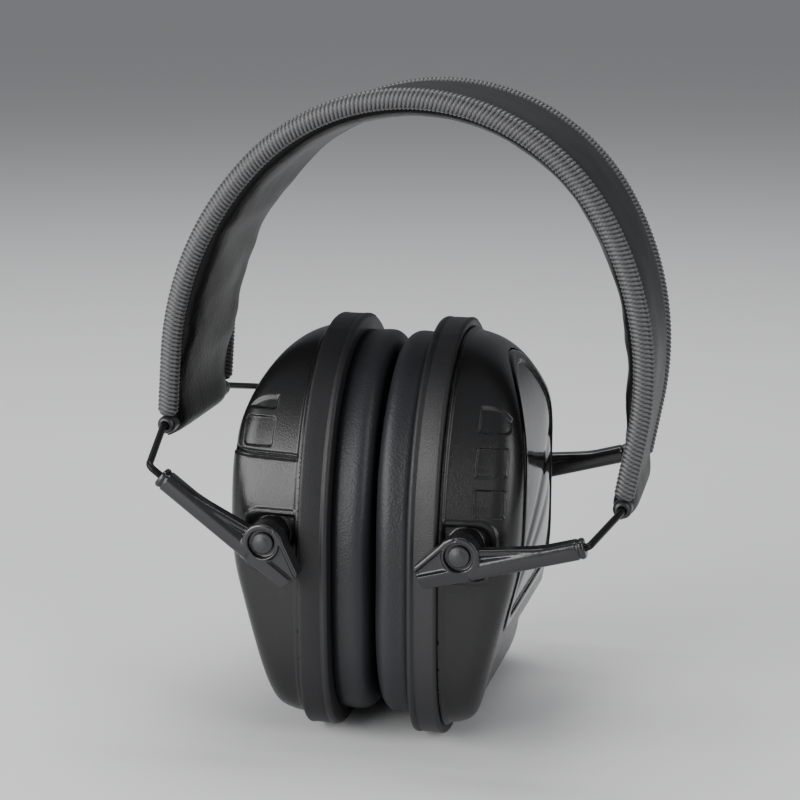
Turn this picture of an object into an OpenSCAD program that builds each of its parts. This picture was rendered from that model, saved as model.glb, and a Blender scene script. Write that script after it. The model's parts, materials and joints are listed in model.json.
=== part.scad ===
// Folding earmuff hearing protector: two ear cups on wire bails under a padded spring headband.
// X runs from ear to ear, -Y is the front, Z is up. The cups stand on Z = 0, one each side of X = 0.

/* [Cups] */
// Height of each cup
cup_h = 108; // [104:1:114]
// Greatest width of each cup, front to rear
cup_w = 87; // [84:0.5:88]
// Distance from the plane between the cushions to a shell's outer face
cup_depth = 40; // [38:0.5:42]
// Thickness of a shell's wall
wall = 2.4; // [1.8:0.2:2.6]
// Thickness of the ear cushion in front of its rim
cushion_t = 10.1; // [9:0.1:11]
// Width of the rim band between cushion and shell
rim_t = 8; // [7:0.5:9]
// Radius of the round ends of the ear opening
ear_r = 21; // [19:0.5:22]
// Height of the ear opening
ear_h = 66; // [60:1:70]

/* [Pivots and arms] */
// Height of the pivot pins above the foot of the cup
pivot_z = 57.4; // [55:0.2:59]
// Distance of the pivot pins from the plane between the cushions
pivot_x = 25.5; // [24:0.5:27]
// Distance of an arm's wire bore from the middle of the cup, front to rear
arm_y = 48.1; // [48:0.1:49]
// Distance of the wire bore below the pivot pin
pin_offset = 4.3; // [4.1:0.1:5]
// Distance along the arm from the pivot pin to the arm's mouth
arm_reach = 31.4; // [29:0.2:32]
// Length of the arm's tail beyond the pivot pin
tail_l = 12.4; // [9:0.2:13]
// Slope of the left arms
left_arm_angle = 37.6; // [34:0.2:40]
// Slope of the right arms
right_arm_angle = 15.3; // [13:0.2:18]

/* [Wire bails] */
// Diameter of the steel wire
wire_d = 1.9; // [1.8:0.1:2]
// Gap between the left arms' mouths and the kinks in the wire
left_kink_gap = 4; // [1:0.2:5]
// Gap between the right arms' mouths and the kinks in the wire
right_kink_gap = 0.8; // [0.6:0.2:4]
// Length of the straight wire end that the arm slides on
wire_end = 36; // [32:1:38]

/* [Headband] */
// Width of the headband over its edge piping
band_w = 52; // [50:0.5:54]
// Diameter of the edge piping
piping_d = 4.6; // [4.2:0.1:4.8]
// Length of the straight stretch above each headband hinge
leg_l = 19.3; // [18:0.1:24]
// Outward lean of that stretch
leg_lean = 3; // [1:0.5:4]
// Radius of the side arcs
side_r = 82; // [78:1:86]
// Half angle of the crown arc
crown_half = 52; // [48:1:56]

/* [Hidden] */
$fn = 64;
big = 200;          // reaches past the whole object
slip = 0.05;        // radial clearance of a running fit
face_gap = 0.3;     // half the gap between the two cushions' faces

// Cup outline: a superellipse, rounder above its widest height than below it
outline_n = 96;
waist_z = cup_h - 60;
top_power = 2.1;
foot_power = 4.5;
foot_cut = 0.5;     // trimmed off the foot, so that the cup stands on a flat
rim_flare = 2;      // how far the rim stands out past the shell
cushion_inset = 2.5;
rim_x = face_gap + cushion_t;
shell_x = rim_x + rim_t;

// Shell form
crown_power = 2.1;  // superellipse power of the shell's rounded top
top_x = 16;
widest_z = cup_h - 51;
flat_below = 3;     // how far below its widest height the face starts to lean in
face_lean = 0.25;   // how steeply it leans in from there down
face_slant = 7;     // the face's profile sits higher in front: it runs to the rear at this angle
step_z = 24;        // behind its front corner the face steps in below this height
step_in = 4.5;
step_front = 30;    // the step starts this far in front of the middle
step_lean = 0.08;
foot_r = 9;
foot_turn = 72;     // how far round the foot's arc turns before it runs straight on
face_r = 200;       // radius of the outer face in plan
face_crest = 8;     // the face's crest lies this far in front of the middle
corner_r = 5;
corner_x = 33;      // where the plan's rounded corners are centred
cover_t = 1.4;
cover_back = 8;     // how far behind the outermost point the cover's zone starts
cover_half_w = 31;
cover_z0 = 31;
cover_z1 = cup_h - 4;
liner_x = 22;
liner_t = 9;
liner_gap = 0.4;

// Recessed windows in the front and rear walls of each shell, and the groove across the left one's walls
left_window_z = [82.6, 91.6];
right_window_z = [68, 78, 88.4];
window_size = 7;
window_x = 31;
window_depth = 1.2;
groove_z = 76.6;
groove_w = 0.6;
groove_depth = 0.6;

// Cushion seat and its snap ring
seat_t = 1.2;
seat_inset = 6;
snap_l = 3;
rim_floor = 2.5;
rim_wall = 2.2;
rim_bore_r = ear_r + 3;
snap_clear = 0.1;
snap_wall = 1.7;

// Pivot pins and bosses
pin_r = 1.5;
pin_head_r = 2.75;
pin_head_t = 1.2;
pin_root_y = 36.5;
boss_r = 5;
boss_y = 45;
boss_root_y = 36;

// Arms
arm_t = 4.4;
tube_r = 2.9;
arm_boss_r = 6;
mouth_w = 6;
counterbore_r = 3.6;
counterbore_t = 0.9;
tail_r = 2;         // rounding of the tail's upper corner
heel_r = 1.4;       // rounding of the tail's lower corner
tail_rise = 2;      // height of the tail's upper corner above the bore
tube_start = 3;     // how far short of the tail's end the tube begins
web_start = 2;      // how far behind the pivot pin the arm's web begins
web_boss_r = 5;
web_gap = 1;        // how far short of the arm's mouth the web ends
web_rise = 0.1;     // by how much the web is flatter than the mouth

// Wire bails
wire_r = wire_d / 2;
bend_r = wire_r + 0.05;   // the wire swells a little where it is bent
leg_reach = 6;      // how far along the arm a leg of the wire gets from its kink to the crossbar
leg_rise = 1.5;     // how far it rises square to the arm
crossbar_y = band_w / 2 + 0.6;

// Headband frame, worked out from where the arms put the two hinges
left_reach = arm_reach + left_kink_gap + leg_reach;
right_reach = arm_reach + right_kink_gap + leg_reach;
hinge_drop = pin_offset - leg_rise;
function hinge_x(a, reach) = pivot_x + reach * cos(a) + hinge_drop * sin(a);
function hinge_z(a, reach) = pivot_z + reach * sin(a) - hinge_drop * cos(a);
left_hinge = [-hinge_x(left_arm_angle, left_reach), hinge_z(left_arm_angle, left_reach)];
right_hinge = [hinge_x(right_arm_angle, right_reach), hinge_z(right_arm_angle, right_reach)];
band_mid = (left_hinge + right_hinge) / 2;
half_span = norm(right_hinge - left_hinge) / 2;
band_tilt = atan2(left_hinge[1] - right_hinge[1], right_hinge[0] - left_hinge[0]);

// Headband path: a straight leg, a side arc and half of the crown arc, measured along its length
side_cx = half_span + leg_l * sin(leg_lean) - side_r * cos(leg_lean);
side_cz = leg_l * cos(leg_lean) + side_r * sin(leg_lean);
crown_r = side_r + side_cx / sin(crown_half);
crown_cz = side_cz + (side_r - crown_r) * cos(crown_half);
side_turn = 90 - crown_half + leg_lean;
side_l = side_r * side_turn * PI / 180;
half_l = leg_l + side_l + crown_r * crown_half * PI / 180;
crown_gap = 0.15;   // half the gap between the band's halves at the crown

// Headband layers, as distances outward from the path
sleeve_out = 2.1;
sleeve_in = -5.4;
pocket_out = 1.8;
pad_in = -4.4;
strip_half = 0.5;
pad_start = 18;
pad_gap = 0.1;      // keeps the pad clear of the strip and of the pocket's lining
pocket_start = 1;
strip_start = 5;
tab_end = 17;
tab_out = 1.6;
rivet_s = 11;
rivet_y = 7;
rivet_r = 1.4;
rivet_head_r = 2.2;
rivet_head_t = 0.2;
strip_half_w = 13;
pad_half_w = 18;
pocket_half_w = 18.4;
sleeve_half_w = band_w / 2 - piping_d;
barrel_r = 2.5;
barrel_half_l = 25;
hem_r = 3.4;
piping_start = 2.7;
layer_steps = 44;

// ---- frames -------------------------------------------------------------------------------------

module on_left() { mirror([1, 0, 0]) children(); }

module on_rear() { mirror([0, 1, 0]) children(); }

// Extrudes a YZ outline along X from x0 to x1
module along_x(x0, x1) {
  translate([x0, 0, 0]) rotate([90, 0, 90]) linear_extrude(x1 - x0) children();
}

// Extrudes an XZ outline along Y, half of its length each side of Y = 0
module along_y(half_w) {
  rotate([90, 0, 0]) linear_extrude(2 * half_w, center = true) children();
}

// Puts a right-hand arm's frame in place: its X runs up the wire bore, Z = 0 is the bore's axis
module arm_frame(slope) {
  translate([pivot_x, 0, pivot_z]) rotate([0, -slope, 0]) translate([0, 0, -pin_offset]) children();
}

// Puts the headband's frame in place: its origin is midway between the two hinges
module band_frame() {
  translate([band_mid[0], 0, band_mid[1]]) rotate([0, band_tilt, 0]) children();
}

// ---- cup outlines -------------------------------------------------------------------------------

function power(v, p) = sign(v) * pow(abs(v), p);

function cup_point(t, grow) =
  let (up = sin(t) >= 0)
  let (p = 2 / (up ? top_power : foot_power))
  let (reach = grow + (up ? cup_h - waist_z : waist_z + foot_cut))
  [power(cos(t), p) * (cup_w / 2 + grow), max(-grow, waist_z + power(sin(t), p) * reach)];

module cup_outline(grow) {
  polygon([for (i = [0 : outline_n - 1]) cup_point(360 * i / outline_n, grow)]);
}

// Ear opening: a slot with round ends, of end radius r
module ear_slot(r) {
  spread = ear_h / 2 - ear_r;
  translate([0, cup_h / 2 + spread]) circle(r);
  translate([0, cup_h / 2 - spread]) circle(r);
  translate([-r, cup_h / 2 - spread]) square([2 * r, 2 * spread]);
}

function face_x(z) = cup_depth - (widest_z - flat_below - z) * face_lean;

// Profile of the shell's face and crown in X and Z, set in by the given amount
module face_profile(inset) {
  half = (cup_depth - top_x) - inset;
  rise = cup_h - widest_z - inset;
  foot_z = -cup_h / 4;
  points = concat(
    [[0, foot_z], [face_x(foot_z) - inset, foot_z]],
    [[cup_depth - inset, widest_z - flat_below]],
    [for (t = [0 : 6 : 90])
      [top_x + half * power(cos(t), 2 / crown_power), widest_z + rise * power(sin(t), 2 / crown_power)]],
    [[0, cup_h - inset]]
  );
  polygon([for (p = points) [p[0], p[1] * cos(face_slant)]]);
}

// Profile that rounds the face off toward the foot
module foot_profile(inset) {
  foot_x = face_x(foot_r) - inset - foot_r;
  end_x = foot_x + foot_r * sin(foot_turn);
  end_z = inset + foot_r * (1 - cos(foot_turn));
  polygon(concat(
    [[0, inset]],
    [for (t = [0 : 12 : foot_turn]) [foot_x + foot_r * sin(t), inset + foot_r * (1 - cos(t))]],
    [[end_x + cup_h / tan(foot_turn), end_z + cup_h], [0, end_z + cup_h]]
  ));
}

// Plan of the shell in X and Y, set in by the given amount
module shell_plan(inset) {
  half_w = cup_w / 2 - rim_flare;
  intersection() {
    translate([cup_depth - face_r, -face_crest]) circle(face_r - inset, $fn = 256);
    union() {
      translate([0, -half_w + inset]) square([corner_x, 2 * (half_w - inset)]);
      translate([0, -half_w + corner_r]) square([cup_depth, 2 * (half_w - corner_r)]);
      for (s = [-1, 1])
        translate([corner_x, s * (half_w - corner_r)]) circle(corner_r - inset);
    }
  }
}

// The space that the step below the face leaves clear, behind the shell's front corner
module step_space(inset) {
  low_x = face_x(step_z) - step_in - inset;
  top_z = step_z + inset;
  translate([0, big / 2 - step_front - inset, 0]) along_y(big / 2)
    polygon([[low_x, top_z], [big, top_z], [big, -1], [low_x - (top_z + 1) * step_lean, -1]]);
}

// Solid form of a shell: where its outline, profiles and plan agree, less the step
module shell_form(inset) {
  difference() {
    intersection() {
      along_x(shell_x, cup_depth + 1) cup_outline(-rim_flare - inset);
      rotate([-face_slant, 0, 0]) along_y(cup_w) face_profile(inset);
      along_y(cup_w) foot_profile(inset);
      linear_extrude(cup_h) shell_plan(inset);
    }
    step_space(inset);
  }
}

// The skin of the shell's outer face that the glossy cover takes up
module cover_zone() {
  translate([cup_depth - cover_back, -cover_half_w, cover_z0])
    cube([big, 2 * cover_half_w, cover_z1 - cover_z0]);
}

// ---- cup parts ----------------------------------------------------------------------------------

// Two rods on the pivot axis, outward from distance root_y to the front and to the rear
module pivot_rods(r, root_y, length) {
  for (s = [-1, 1])
    translate([pivot_x, s * root_y, pivot_z]) rotate([-s * 90, 0, 0]) cylinder(r = r, h = length);
}

module windows(heights) {
  for (s = [-1, 1], z = heights)
    translate([window_x, s * (cup_w / 2 - rim_flare), z])
      cube([window_size, 2 * window_depth, window_size], center = true);
}

module wall_groove(z) {
  translate([shell_x - 1, 0, z - groove_w / 2]) linear_extrude(groove_w) difference() {
    translate([0, -big / 2]) square(big);
    translate([0, -cup_w / 2 + rim_flare + groove_depth])
      square([big, cup_w - 2 * (rim_flare + groove_depth)]);
  }
}

module cup_shell(window_heights, groove_heights) {
  color([0.07, 0.07, 0.075]) difference() {
    union() {
      difference() {
        shell_form(0);
        translate([shell_x - 1, 0, 0]) shell_form(wall);
        shell_form(wall);
      }
      pivot_rods(boss_r, boss_root_y, boss_y - boss_root_y);
    }
    intersection() {
      cover_zone();
      difference() {
        shell_form(0);
        shell_form(cover_t);
      }
    }
    pivot_rods(pin_r, boss_root_y, big);
    windows(window_heights);
    for (z = groove_heights)
      wall_groove(z);
  }
}

module outer_cover() {
  color([0.03, 0.03, 0.035]) intersection() {
    cover_zone();
    difference() {
      shell_form(0);
      shell_form(cover_t);
    }
  }
}

module cup_rim() {
  color([0.09, 0.09, 0.095]) difference() {
    along_x(rim_x, shell_x) cup_outline(0);
    along_x(rim_x + rim_floor, big) cup_outline(-rim_flare - rim_wall);
    along_x(0, big) ear_slot(rim_bore_r);
  }
}

module seat_ring() {
  color([0.2, 0.2, 0.21]) {
    difference() {
      along_x(rim_x - seat_t, rim_x) cup_outline(-seat_inset);
      along_x(0, big) ear_slot(ear_r);
    }
    difference() {
      along_x(rim_x, rim_x + snap_l) ear_slot(rim_bore_r - snap_clear);
      along_x(0, big) ear_slot(rim_bore_r - snap_clear - snap_wall);
    }
  }
}

module ear_cushion() {
  color([0.13, 0.14, 0.16]) difference() {
    along_x(face_gap, rim_x) cup_outline(-cushion_inset);
    along_x(rim_x - seat_t, big) cup_outline(-seat_inset);
    along_x(0, big) ear_slot(ear_r);
  }
}

module foam_liner() {
  color([0.25, 0.25, 0.26]) difference() {
    intersection() {
      shell_form(wall + liner_gap);
      translate([liner_x, -big / 2, 0]) cube([liner_t, big, big]);
    }
    pivot_rods(boss_r + liner_gap, boss_root_y - liner_gap, big);
  }
}

// A pin pressed into the boss, with a low domed head outside the arm
module pivot_pins() {
  head_y = arm_y + arm_t / 2 - counterbore_t + slip;
  color([0.12, 0.12, 0.12])
    for (s = [-1, 1])
      translate([pivot_x, s * pin_root_y, pivot_z]) rotate([-s * 90, 0, 0]) {
        cylinder(r = pin_r, h = head_y - pin_root_y);
        translate([0, 0, head_y - pin_root_y]) cylinder(r1 = pin_head_r, r2 = pin_r, h = pin_head_t);
      }
}

// ---- arms and wire bails ------------------------------------------------------------------------

module arm_outline() {
  hull() {
    translate([0, pin_offset]) circle(arm_boss_r);
    translate([-tail_l + tail_r, tail_rise]) circle(tail_r);
    translate([-tail_l + tube_start, -tube_r + heel_r]) circle(heel_r);
  }
  hull() {
    translate([0, pin_offset]) circle(web_boss_r);
    translate([-web_start, -tube_r]) square([arm_reach + web_start - web_gap, mouth_w - web_rise]);
  }
}

// The front arm of the right side, drawn in its own frame
module arm() {
  tube_x = tube_start - tail_l;
  color([0.05, 0.05, 0.055]) translate([0, -arm_y, 0]) difference() {
    union() {
      along_y(arm_t / 2) arm_outline();
      translate([tube_x, 0, 0]) rotate([0, 90, 0]) cylinder(r = tube_r, h = arm_reach - tube_x);
      translate([0, 0, pin_offset]) rotate([-90, 0, 0]) cylinder(r = boss_r, h = arm_y - boss_y - 2 * slip);
    }
    translate([-tail_l, 0, 0]) rotate([0, 90, 0]) cylinder(r = wire_r + slip, h = big);
    translate([0, 0, pin_offset]) rotate([90, 0, 0]) {
      cylinder(r = pin_r + slip, h = big, center = true);
      translate([0, 0, arm_t / 2 - counterbore_t]) cylinder(r = counterbore_r, h = big);
    }
  }
}

module front_arm(slope) { arm_frame(slope) arm(); }

module rear_arm(slope) { on_rear() front_arm(slope); }

// A straight run of wire between two points of the arm's frame
module wire_run(a, b) {
  d = b - a;
  translate(a) rotate([0, acos(d[2] / norm(d)), atan2(d[1], d[0])]) cylinder(r = wire_r, h = norm(d));
}

// One steel wire: a crossbar in the headband, two splayed legs and two ends that the arms slide on
module wire_bail(slope, kink_gap) {
  kink_u = arm_reach + kink_gap;
  color([0.1, 0.1, 0.11]) arm_frame(slope) {
    wire_run([kink_u + leg_reach, -crossbar_y, leg_rise], [kink_u + leg_reach, crossbar_y, leg_rise]);
    for (s = [-1, 1]) {
      corner = [kink_u + leg_reach, s * crossbar_y, leg_rise];
      kink = [kink_u, s * arm_y, 0];
      wire_run(corner, kink);
      wire_run(kink, kink - [wire_end, 0, 0]);
      for (bend = [corner, kink])
        translate(bend) sphere(bend_r);
    }
  }
}

// ---- headband -----------------------------------------------------------------------------------

function leg_point(s, out) =
  [half_span + s * sin(leg_lean) + out * cos(leg_lean), s * cos(leg_lean) - out * sin(leg_lean)];

function arc_point(centre, r, t) = [centre[0] + r * cos(t), centre[1] + r * sin(t)];

// The point at distance s along the right half of the band, moved outward
function band_point(s, out) =
  s <= leg_l ? leg_point(s, out)
  : s <= leg_l + side_l
    ? arc_point([side_cx, side_cz], side_r + out, (s - leg_l) / side_r * 180 / PI - leg_lean)
    : arc_point([0, crown_cz], crown_r + out, 90 - (half_l - s) / crown_r * 180 / PI);

// A layer of the right half between two distances from the path and two distances along it
module band_layer(in, out, start, end) {
  steps = [for (i = [0 : layer_steps]) start + (end - start) * i / layer_steps];
  polygon(concat(
    [for (s = steps) band_point(s, out)],
    [for (i = [0 : layer_steps]) band_point(steps[layer_steps - i], in)]
  ));
}

// The round shanks of a bracket's two rivets, square to the strip
module rivet_shanks(r, in, out) {
  foot = leg_point(rivet_s, 0);
  for (s = [-1, 1])
    translate([foot[0], s * rivet_y, foot[1]]) rotate([0, 90 + leg_lean, 0]) translate([0, 0, in])
      cylinder(r = r, h = out - in);
}

module spring_strip() {
  color([0.55, 0.56, 0.58]) band_frame() difference() {
    along_y(strip_half_w) band_layer(-strip_half, strip_half, strip_start, half_l - crown_gap);
    rivet_shanks(rivet_r, -big, big);
  }
}

// A cylinder along the right headband hinge, half of its length each side of Y = 0
module hinge_rod(r, half_length) {
  translate([half_span, 0, 0]) rotate([90, 0, 0]) cylinder(r = r, h = 2 * half_length, center = true);
}

// Plastic end fitting: a barrel for the wire's crossbar and a tab riveted to the spring strip
module band_bracket() {
  color([0.06, 0.06, 0.065]) band_frame() difference() {
    union() {
      hinge_rod(barrel_r, barrel_half_l);
      along_y(strip_half_w) band_layer(strip_half, tab_out, 0, tab_end);
    }
    hinge_rod(wire_r + slip, big);
    rivet_shanks(rivet_r, -big, big);
  }
}

module bracket_rivets() {
  color([0.6, 0.6, 0.6]) band_frame() {
    rivet_shanks(rivet_r, -strip_half - rivet_head_t, tab_out + rivet_head_t);
    rivet_shanks(rivet_head_r, -strip_half - rivet_head_t, -strip_half);
    rivet_shanks(rivet_head_r, tab_out, tab_out + rivet_head_t);
  }
}

module headband_pad() {
  color([0.3, 0.3, 0.31]) band_frame() along_y(pad_half_w)
    band_layer(pad_in + pad_gap, -strip_half - pad_gap, pad_start, half_l - crown_gap);
}

// Soft cover around the pad and the strip, hemmed round the bracket's barrel
module headband_sleeve() {
  color([0.05, 0.05, 0.055]) band_frame() difference() {
    union() {
      along_y(sleeve_half_w) band_layer(sleeve_in, sleeve_out, 0, half_l - crown_gap);
      hinge_rod(hem_r, sleeve_half_w);
    }
    along_y(pocket_half_w) band_layer(pad_in, pocket_out, pocket_start, half_l);
    hinge_rod(barrel_r, big);
  }
}

module edge_piping() {
  translate([0, -sleeve_half_w - piping_d / 2, 0]) along_y(piping_d / 2)
    band_layer(-piping_d / 2, piping_d / 2, piping_start, half_l - crown_gap);
}

module front_piping() { color([0.16, 0.16, 0.17]) band_frame() edge_piping(); }

module rear_piping() { color([0.16, 0.16, 0.17]) band_frame() on_rear() edge_piping(); }

// Mirrors a right-hand headband part inside the headband's own tilted frame
module left_of_band() {
  translate([band_mid[0], 0, band_mid[1]]) rotate([0, band_tilt, 0]) on_left()
    rotate([0, -band_tilt, 0]) translate([-band_mid[0], 0, -band_mid[1]]) children();
}

on_left() cup_shell(left_window_z, [groove_z]);  // left_cup_shell
on_left() outer_cover();  // left_outer_cover
on_left() cup_rim();  // left_cup_rim
on_left() seat_ring();  // left_seat_ring
on_left() foam_liner();  // left_foam_liner
on_left() ear_cushion();  // left_ear_cushion
on_left() pivot_pins();  // left_pivot_pins
on_left() front_arm(left_arm_angle);  // left_front_arm
on_left() rear_arm(left_arm_angle);  // left_rear_arm
on_left() wire_bail(left_arm_angle, left_kink_gap);  // left_wire_bail
left_of_band() band_bracket();  // left_band_bracket
left_of_band() bracket_rivets();  // left_bracket_rivets
left_of_band() spring_strip();  // left_spring_strip
left_of_band() headband_pad();  // left_headband_pad
left_of_band() headband_sleeve();  // left_headband_sleeve
left_of_band() front_piping();  // left_front_piping
left_of_band() rear_piping();  // left_rear_piping
cup_shell(right_window_z, []);  // right_cup_shell
outer_cover();  // right_outer_cover
cup_rim();  // right_cup_rim
seat_ring();  // right_seat_ring
foam_liner();  // right_foam_liner
ear_cushion();  // right_ear_cushion
pivot_pins();  // right_pivot_pins
front_arm(right_arm_angle);  // right_front_arm
rear_arm(right_arm_angle);  // right_rear_arm
wire_bail(right_arm_angle, right_kink_gap);  // right_wire_bail
band_bracket();  // right_band_bracket
bracket_rivets();  // right_bracket_rivets
spring_strip();  // right_spring_strip
headband_pad();  // right_headband_pad
headband_sleeve();  // right_headband_sleeve
front_piping();  // right_front_piping
rear_piping();  // right_rear_piping
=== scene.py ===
import json
import math

import bpy
import numpy as np
import openvdb
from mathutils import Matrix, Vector, noise


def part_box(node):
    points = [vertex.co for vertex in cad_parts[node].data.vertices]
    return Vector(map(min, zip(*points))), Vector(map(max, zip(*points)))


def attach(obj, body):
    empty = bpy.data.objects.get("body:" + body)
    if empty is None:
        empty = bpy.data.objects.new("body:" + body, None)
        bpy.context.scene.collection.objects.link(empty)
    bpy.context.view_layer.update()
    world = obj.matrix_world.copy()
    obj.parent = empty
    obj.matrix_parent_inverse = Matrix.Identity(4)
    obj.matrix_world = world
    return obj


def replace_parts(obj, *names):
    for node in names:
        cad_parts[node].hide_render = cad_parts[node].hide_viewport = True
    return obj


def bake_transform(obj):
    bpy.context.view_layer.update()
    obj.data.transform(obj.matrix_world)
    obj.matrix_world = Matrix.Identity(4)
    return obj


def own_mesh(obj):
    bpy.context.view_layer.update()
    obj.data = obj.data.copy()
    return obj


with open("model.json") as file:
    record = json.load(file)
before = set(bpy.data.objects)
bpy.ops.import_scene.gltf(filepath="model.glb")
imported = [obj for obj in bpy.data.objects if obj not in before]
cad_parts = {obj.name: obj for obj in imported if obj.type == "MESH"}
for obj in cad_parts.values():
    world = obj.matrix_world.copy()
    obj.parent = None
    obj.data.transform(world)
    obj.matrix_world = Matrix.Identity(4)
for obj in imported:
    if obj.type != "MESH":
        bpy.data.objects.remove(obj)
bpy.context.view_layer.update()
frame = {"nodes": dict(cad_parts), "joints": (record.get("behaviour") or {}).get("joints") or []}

# The object's parts are described in millimetres until a mesh is made. X points away from the plane
# between the two cups, so that one description serves both sides, Y runs to the rear and Z up.
MM = 0.001
SIDES = {"left": -1, "right": 1}

# Cup outline, as the CAD draws it
CUP_W = 87.0
TOP_POWER = 2.1
FOOT_POWER = 4.5
FOOT_CUT = 0.5
RIM_FLARE = 2.0
EAR_R = 21.0
EAR_H = 66.0

# Shell form: a crown above a face that leans in towards its foot and steps in further there
WALL = 2.4
WALL_DRAFT = 0.06
TOP_X = 16.0
CROWN_POWER = 2.1
FLAT_BELOW = 3.0
FACE_LEAN = 0.25
FACE_SLANT = math.tan(math.radians(7))
FACE_R = 200.0
FACE_CREST = 8.0
STEP_Z = 24.0
STEP_IN = 4.5
STEP_FRONT = 30.0
COVER_HALF_W = 31.0
COVER_FOOT = 31.0
COVER_T = 1.4

# Arms and wire, in a frame whose U runs along the wire bore, away from the pin, and W up from it
PIN_OFFSET = 4.3
ARM_REACH = 31.4
TUBE_R = 2.9
WIRE_R = 0.95
LEG_REACH = 6.0
WIRE_END = 36.0

# Headband path
BAND_W = 52.0
PIPING_R = 2.3
LEG_L = 19.3
LEG_LEAN = math.radians(3)
SIDE_R = 82.0
CROWN_HALF = math.radians(52)
SLEEVE_OUT = 2.1
SLEEVE_IN = 5.4
HEM_R = 3.4
BARREL_R = 2.5

# Where most of a noise texture's values lie
NOISE_LOW = 0.3
NOISE_HIGH = 0.7


def joint(name):
    """The frame's record of a joint."""
    return next(j for j in frame["joints"] if j["name"] == name)


def joint_place(name):
    """A joint's place, in millimetres."""
    return np.array(joint(name)["pos_m"]) / MM


def low_high(node):
    """A CAD node's lowest and highest corner, in millimetres."""
    low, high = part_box(node)
    return np.array(low) / MM, np.array(high) / MM


rim_low, rim_high = low_high("right_cup_rim")
CUP_H = rim_high[2]
WAIST = CUP_H - 60
WIDEST_Z = CUP_H - 51
PIVOT = joint_place("right_cup_pivot")
RIM_X = rim_low[0]
SHELL_X = rim_high[0]
DEPTH = low_high("right_outer_cover")[1][0]
FACE_X = low_high("right_ear_cushion")[0][0]
ARM_Y = -low_high("right_front_arm")[0][1] - TUBE_R


# ---- materials ----------------------------------------------------------------------------------

def surface(name, colour, roughness, metallic=0.0, shine=0.38):
    """A material with one Principled shader. Gives back the material, its nodes, links and the shader."""
    made = bpy.data.materials.new(name)
    made.use_nodes = True
    nodes, links = made.node_tree.nodes, made.node_tree.links
    shader = nodes["Principled BSDF"]
    shader.inputs["Base Color"].default_value = (*colour, 1)
    shader.inputs["Roughness"].default_value = roughness
    shader.inputs["Metallic"].default_value = metallic
    shader.inputs["Specular IOR Level"].default_value = shine
    return made, nodes, links, shader


def texture(nodes, links, kind, scale, **inputs):
    """A procedural texture that stays fixed to its object, at so many repeats per metre."""
    made = nodes.new(kind)
    made.inputs["Scale"].default_value = scale
    for name, value in inputs.items():
        made.inputs[name].default_value = value
    place = nodes.new("ShaderNodeTexCoord")
    links.new(place.outputs["Object"], made.inputs["Vector"])
    return made


def vary(nodes, links, source, target, low, high):
    """Lets a texture move one of the shader's values between low and high."""
    spread = nodes.new("ShaderNodeMapRange")
    spread.inputs["From Min"].default_value = NOISE_LOW
    spread.inputs["From Max"].default_value = NOISE_HIGH
    spread.inputs["To Min"].default_value = low
    spread.inputs["To Max"].default_value = high
    links.new(source, spread.inputs["Value"])
    links.new(spread.outputs["Result"], target)


def bump(nodes, links, shader, height, distance, strength=1.0, under=None):
    """Shades a texture's height as relief, on top of another bump if one is given."""
    made = nodes.new("ShaderNodeBump")
    made.inputs["Distance"].default_value = distance
    made.inputs["Strength"].default_value = strength
    links.new(height, made.inputs["Height"])
    if under:
        links.new(under.outputs["Normal"], made.inputs["Normal"])
    links.new(made.outputs["Normal"], shader.inputs["Normal"])
    return made


def plastic(name, colour, roughness, grain, depth, shine=0.38):
    """Moulded plastic with a spark-eroded grain: so many grains per metre, so deep in metres."""
    made, nodes, links, shader = surface(name, colour, roughness, shine=shine)
    fine = texture(nodes, links, "ShaderNodeTexNoise", grain, Detail=2.0, Roughness=0.6)
    bump(nodes, links, shader, fine.outputs["Fac"], depth)
    worn = texture(nodes, links, "ShaderNodeTexNoise", 60, Detail=4.0)
    vary(nodes, links, worn.outputs["Fac"], shader.inputs["Roughness"], roughness * 0.88, roughness * 1.12)
    return made


def leather(name, colour, roughness, grain, depth, shine):
    """Coated fabric: small rounded cells with fine creases between them."""
    made, nodes, links, shader = surface(name, colour, roughness, shine=shine)
    cells = texture(nodes, links, "ShaderNodeTexVoronoi", grain, Randomness=1.0)
    first = bump(nodes, links, shader, cells.outputs["Distance"], depth, 0.6)
    creases = texture(nodes, links, "ShaderNodeTexNoise", grain / 4, Detail=5.0, Roughness=0.65)
    bump(nodes, links, shader, creases.outputs["Fac"], depth * 2, 0.5, under=first)
    worn = texture(nodes, links, "ShaderNodeTexNoise", 45, Detail=4.0)
    vary(nodes, links, worn.outputs["Fac"], shader.inputs["Roughness"], roughness * 0.85, roughness * 1.1)
    return made


def foam(name, colour):
    """Open-cell foam: deep pores between pale walls, the pores darkened with painted shade."""
    made, nodes, links, shader = surface(name, colour, 0.95)
    pores = texture(nodes, links, "ShaderNodeTexVoronoi", 900, Randomness=1.0)
    bump(nodes, links, shader, pores.outputs["Distance"], 0.0006)
    # Painted shade: the pores are coloured darker than the walls.
    painted_light_ramp = nodes.new("ShaderNodeValToRGB")
    painted_light_ramp.color_ramp.elements[0].color = (*[c * 0.35 for c in colour], 1)
    painted_light_ramp.color_ramp.elements[1].color = (*colour, 1)
    painted_light_ramp.color_ramp.elements[1].position = 0.45
    links.new(pores.outputs["Distance"], painted_light_ramp.inputs["Fac"])
    links.new(painted_light_ramp.outputs["Color"], shader.inputs["Base Color"])
    return made


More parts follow.
